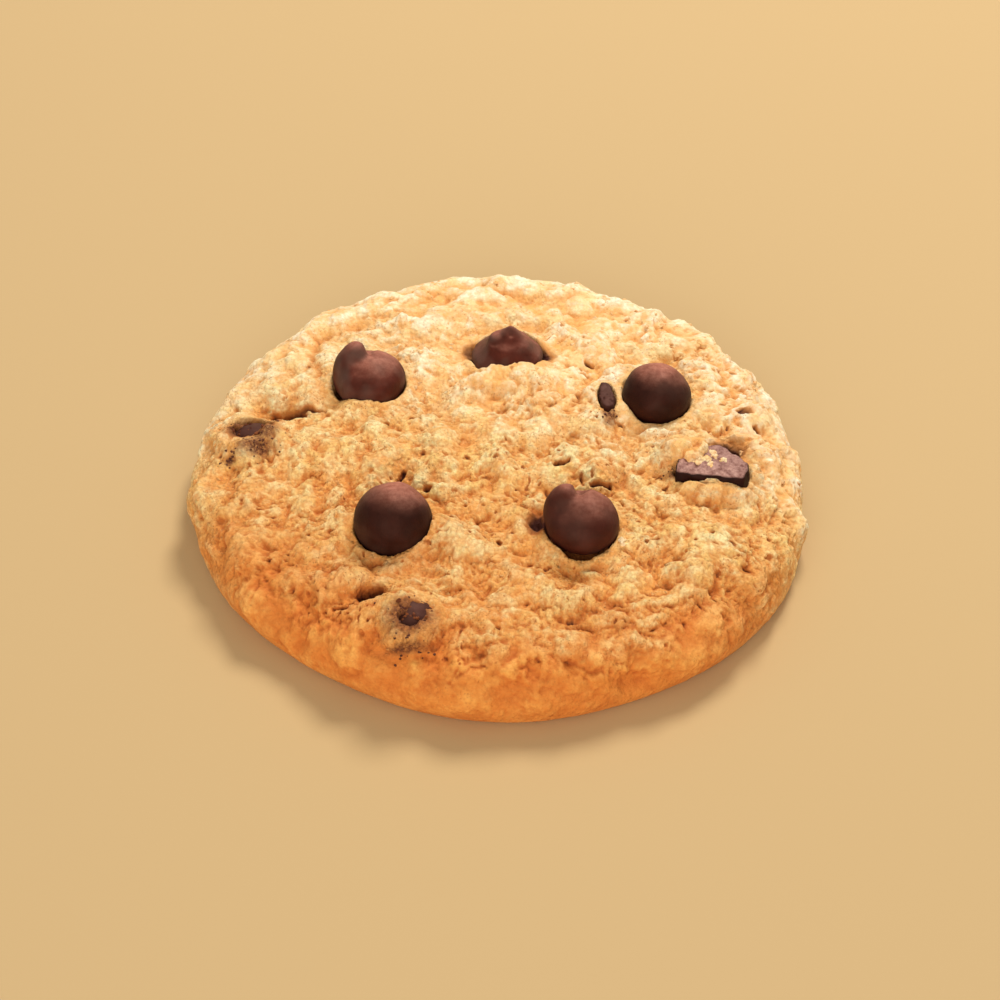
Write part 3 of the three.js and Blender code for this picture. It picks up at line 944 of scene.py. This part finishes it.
def chip_shape(directions, chip, seed):
    """Points of a melted chip, found by halving along each direction from its inside."""
    start = np.array([0, 0, -0.5])
    near = np.full(len(directions), CHIP_REACH[0])
    far = np.full(len(directions), CHIP_REACH[1])
    for _ in range(CHIP_HALVINGS):
        middle = (near + far) / 2
        inside = chip_outside(start + directions * middle[:, None], chip, seed) < 0
        near, far = np.where(inside, middle, near), np.where(inside, far, middle)
    return leaned(start + directions * near[:, None], chip["lean"])


def shard_shape(directions, shard, seed):
    """A broken slab: the space inside its planes, with the edges a little worn."""
    outline = np.array(shard["outline"])
    run = np.roll(outline, -1, axis=0) - outline
    normals = np.column_stack([run[:, 1], -run[:, 0], np.zeros(len(run))])
    normals /= np.linalg.norm(normals, axis=1)[:, None]
    planes = [(normal, float(normal[:2] @ corner)) for normal, corner in zip(normals, outline)]
    half = shard["thick"] / 2
    planes += [(np.array([0.06, -0.05, 1.0]), half), (np.array([0, 0, -1.0]), half)]
    sharpness = shard["sharpness"]
    press = sum(np.clip(directions @ normal / reach, 0, None) ** sharpness for normal, reach in planes)
    points = directions * (press ** (-1 / sharpness))[:, None]
    rough = 0.35 * (billows(points + seed, 1.6, 4) - 0.5) + 0.12 * swells(points, 0.6)
    return leaned(points + directions * rough[:, None], shard["lean"], shard["turn"])


def add_piece(name, points, faces, material, replaced=None):
    """A visible piece in metres, with its body and the CAD node that it replaces."""
    mesh = bpy.data.meshes.new(name)
    mesh.from_pydata(points.tolist(), [], faces.tolist())
    mesh.shade_smooth()
    mesh.materials.append(material)
    piece = add_object(name, mesh)
    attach(piece, "root")
    if replaced:
        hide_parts(replaced)
    return piece


def build_chocolate():
    """Every chip and broken piece of chocolate, each fitted to its CAD node."""
    # The second number is how strong each chocolate's painted highlight is.
    most_highlit = chocolate_material("most_highlit_chocolate", 0.95)
    reddish = chocolate_material("reddish_chocolate", 0.85, srgb(56, 22, 15), srgb(84, 36, 27), 0.35)
    warm = chocolate_material("warm_chocolate", 0.7, srgb(48, 18, 12), srgb(66, 27, 19))
    least_highlit = chocolate_material("least_highlit_chocolate", 0.1, srgb(34, 10, 8), srgb(52, 18, 13))
    dull = bloomed_material()
    looks = {
        "chip_back_left": reddish,
        "chip_back": reddish,
        "chip_back_right": most_highlit,
        "chip_front_left": most_highlit,
        "chip_front_right": warm,
        "chip_buried_left": least_highlit,
        "chip_buried_front": least_highlit,
    }
    directions, faces = ball(CHIP_FINENESS)
    for seed, (node, chip) in enumerate(CHIPS.items()):
        points = fit_to_box(chip_shape(directions, chip, 13.7 * seed), node)
        add_piece(node + "_melted", points, faces, looks[node], node)
    for seed, (node, shard) in enumerate(SHARDS.items()):
        points = fit_to_box(shard_shape(directions, shard, 7.9 * seed), node)
        bloomed = node == "chunk_right"
        add_piece(node + "_broken", points, faces, dull if bloomed else least_highlit, node)


# ---- crumbs and specks --------------------------------------------------------------------
# Lumps of dough stuck on or against the chocolate: place in plan, size, how far they stand up.
STUCK_LUMPS = [
    # On the chunk.
    (25.8, -2.9, 1.2, 0.3), (26.9, -3.9, 0.7, 0.3), (24.2, -4.2, 1.4, 0.3), (22.6, -4.3, 1.2, 0.3),
    (25.3, -4.9, 0.8, 0.3), (28.3, -3.0, 0.6, 0.3), (23.4, -3.4, 1.7, 0.3), (24.9, -3.7, 1.1, 0.2),
    (23.6, -5.0, 0.8, 0.2), (26.3, -1.6, 0.9, 0.3), (22.2, -5.3, 0.7, 0.2), (27.5, -5.0, 0.5, 0.2),
    # Against the splinter and the front right chip.
    (13.6, 6.3, 0.8, 0.2), (13.0, 6.0, 0.7, 0.2), (14.4, -17.2, 0.9, 0.3),
]
# How far such a lump sinks in, and how much wider it is made, as shares of its size.
STUCK_LUMP_SINK = 0.35
STUCK_LUMP_SPREAD = 1.25
CRUMB_COUNT = 600
CRUMB_FLATNESS = 0.75
STAINED_CRUMB_COUNT = 18
SPECK_COUNT = 160
# How finely each kind is meshed.
SPECK_FINENESS = 2
CRUMB_FINENESS = 3
STUCK_LUMP_FINENESS = 4


def blob(directions, seed):
    """One irregular crumb about 1 across."""
    rise = 0.45 + 0.3 * swells(directions * 0.9 + seed, 0.8) + 0.1 * swells(directions + seed, 0.35)
    return directions * rise[:, None]


def joined_blobs(places, sizes, directions, faces):
    """Points and triangles of many crumbs, each turned its own way and a little flattened."""
    points, triangles = [], []
    for number, (place, size) in enumerate(zip(places, sizes)):
        turn = RNG.uniform(0, 2 * math.pi)
        axis = Vector(RNG.normal(size=3)).normalized()
        spin = np.array(Matrix.Rotation(turn, 3, axis))
        shape = blob(directions, 3.1 * number) @ spin.T * size
        shape[:, 2] *= CRUMB_FLATNESS
        points.append(shape + place)
        triangles.append(faces + number * len(directions))
    return np.vstack(points), np.vstack(triangles)


def add_crumbs(name, places, sizes, fineness, fixed_marks, net_points, marks, material):
    """One mesh of dough crumbs, each browned like the crust it lies on."""
    directions, faces = ball(fineness)
    points, triangles = joined_blobs(places, sizes, directions, faces)
    piece = add_piece(name, (points + CENTRING) * MM, triangles, material)
    under = [nearest_on_crust(place, net_points) for place in places]
    for mark in marks:
        values = fixed_marks.get(mark, marks[mark][under]) * np.ones(len(under))
        add_mark(piece.data, mark, np.repeat(values, len(directions)))


def nearest_on_crust(place, net_points):
    """Which net point above the belly lies nearest in plan."""
    away = (net_points[:, 0] - place[0]) ** 2 + (net_points[:, 1] - place[1]) ** 2
    return int(np.argmin(np.where(net_points[:, 2] > BELLY_HEIGHT, away, np.inf)))


def build_loose_crumbs(net_points, marks, share, material):
    """Small crumbs strewn over the top, thicker in some places, but not on the chocolate."""
    likely = step_between(-0.3, 0.3, swells(net_points + 50, 4.0)) * (share < 0.86) * (share > 0.01)
    likely = likely * (marks["crevice"] < 0.7) * share
    for middle, half in FOOTPRINTS.values():
        likely = likely * (away_in_plan(net_points, middle, half) > 1.1)
    chosen = RNG.choice(len(net_points), CRUMB_COUNT, replace=False, p=likely / likely.sum())
    sizes = 0.4 + 0.7 * RNG.random(CRUMB_COUNT) ** 2.5
    places = net_points[chosen] - np.outer(0.25 * sizes, (0, 0, 1))
    loose = {"crest": 0.3, "crevice": 0.3, "low": 0.2, "deep": 0.0}
    add_crumbs("loose_crumbs", places, sizes, CRUMB_FINENESS, loose, net_points, marks, material)


def build_stuck_lumps(net_points, marks, material):
    """Pale lumps of dough on and against the chocolate."""
    places, sizes = [], []
    for x, y, size, proud in STUCK_LUMPS:
        place = net_points[nearest_on_crust((x, y), net_points)].copy()
        place[2] = max(place[2], chocolate_height(place)) + (proud - STUCK_LUMP_SINK) * size
        places.append(place)
        sizes.append(size * STUCK_LUMP_SPREAD)
    stuck = {"crest": 0.7, "crevice": 0.1, "low": 0.0, "deep": 0.0, "bake": 0.06}
    add_crumbs("stuck_lumps", places, sizes, STUCK_LUMP_FINENESS, stuck, net_points, marks, material)


def build_stained_crumbs(net_points, marks, material):
    """Dark grains of dough smeared over the openings above the covered chips."""
    places, sizes = [], []
    for _, _, _, _, hole, hole_half in SHROUDS:
        for _ in range(STAINED_CRUMB_COUNT):
            place = np.array(hole) + RNG.normal(size=2) * np.array(hole_half) * 0.75
            place = net_points[nearest_on_crust(place, net_points)].copy()
            place[2] = max(place[2], chocolate_height(place))
            places.append(place)
            sizes.append(RNG.uniform(0.25, 0.6))
    deep = RNG.uniform(0.7, 1.0, len(places))
    looks = {"crest": 0.0, "crevice": 0.9, "low": 0.9, "deep": deep, "bake": 0.6, "stain": 0.0}
    add_crumbs("stained_crumbs", places, sizes, CRUMB_FINENESS, looks, net_points, marks, material)


def chocolate_height(place):
    """Top of the chocolate under a place, taken as rounded down towards the edge of its box."""
    height = -1.0
    for middle, half in FOOTPRINTS.values():
        away = away_in_plan(place, middle, half)
        if away < 1:
            height = max(height, middle[2] + half[2] * (1 - away**2) ** 0.5 * 0.9)
    return height


def build_specks(net_points):
    """Bits of chocolate rubbed into the dough beside the buried and broken pieces."""
    places, sizes = [], []
    for number in range(SPECK_COUNT):
        _, middle, half = STAINS[number % len(STAINS)]
        place = np.array(middle) + RNG.normal(size=2) * np.array(half) * 0.6
        places.append(net_points[nearest_on_crust(place, net_points)])
        sizes.append(RNG.uniform(0.12, 0.4))
    directions, faces = ball(SPECK_FINENESS)
    points, faces = joined_blobs(places, sizes, directions, faces)
    material = chocolate_material("rubbed_chocolate", 0.3, srgb(62, 32, 22), srgb(92, 54, 38))
    add_piece("chocolate_specks", (points + CENTRING) * MM, faces, material)


# ---- stage, light and camera --------------------------------------------------------------
# Half the floor's width in metres.
FLOOR_REACH = 1.5
FLOOR_COLOUR = srgb(196, 166, 118)
LIGHT_COLOUR = (1.0, 0.96, 0.9)
SKY_COLOUR = (1.0, 0.95, 0.88)
SKY_STRENGTH = 0.5
# The lamps: place and width in metres, and watts.
LAMPS = {
    "key": ((0.15, 0.36, 0.5), 0.22, 3.3),
    "fill": ((-0.1, -0.6, 0.24), 0.6, 2.9),
}
# The camera looks down from the front: degrees, millimetres to the target, and its lens.
CAMERA_ELEVATION = 42
CAMERA_DISTANCE = 420
CAMERA_LENS = 122.5
CAMERA_TARGET = Vector((0.3, -0.2, 1.6)) * MM


def build_stage():
    """A plain pale floor."""
    mesh = bpy.data.meshes.new("floor")
    corners = [(x * FLOOR_REACH, y * FLOOR_REACH, 0) for x, y in ((-1, -1), (1, -1), (1, 1), (-1, 1))]
    mesh.from_pydata(corners, [], [(0, 1, 2, 3)])
    floor = add_object("floor", mesh)
    mesh.materials.append(Nodes("floor").finished({"Base Color": FLOOR_COLOUR, "Roughness": 0.9}))


def add_lamp(name, place, size, power):
    """A soft round lamp, pointed at the cookie."""
    data = bpy.data.lights.new(name, "AREA")
    data.shape = "DISK"
    data.size = size
    data.energy = power
    data.color = LIGHT_COLOUR
    light = add_object(name, data)
    light.location = place
    light.rotation_euler = (-Vector(place)).to_track_quat("-Z", "Y").to_euler()


def build_light():
    """Two soft lamps and an even pale sky."""
    for name, (place, size, power) in LAMPS.items():
        add_lamp(name, place, size, power)
    world = bpy.data.worlds.new("studio")
    world.use_nodes = True
    background = world.node_tree.nodes["Background"]
    background.inputs["Color"].default_value = (*SKY_COLOUR, 1)
    background.inputs["Strength"].default_value = SKY_STRENGTH
    bpy.context.scene.world = world
    bpy.context.scene.view_settings.view_transform = "Standard"


def build_camera():
    """The camera of the photograph: in front, looking down at the cookie."""
    data = bpy.data.cameras.new("camera")
    data.lens = CAMERA_LENS
    camera = add_object("camera", data)
    elevation = math.radians(CAMERA_ELEVATION)
    away = Vector((0, -math.cos(elevation), math.sin(elevation)))
    camera.location = CAMERA_TARGET + away * CAMERA_DISTANCE * MM
    camera.rotation_euler = (-away).to_track_quat("-Z", "Y").to_euler()
    bpy.context.scene.camera = camera


build_camera()
build_light()
build_stage()
net_angle, net_share = dough_net()
crust_points, crust_marks = dough_surface(net_angle, net_share)
baked_dough = dough_material()
build_dough(crust_points, crust_marks, net_angle, net_share, baked_dough)
build_chocolate()
build_loose_crumbs(crust_points, crust_marks, net_share, baked_dough)
build_stuck_lumps(crust_points, crust_marks, baked_dough)
build_specks(crust_points)
build_stained_crumbs(crust_points, crust_marks, baked_dough)
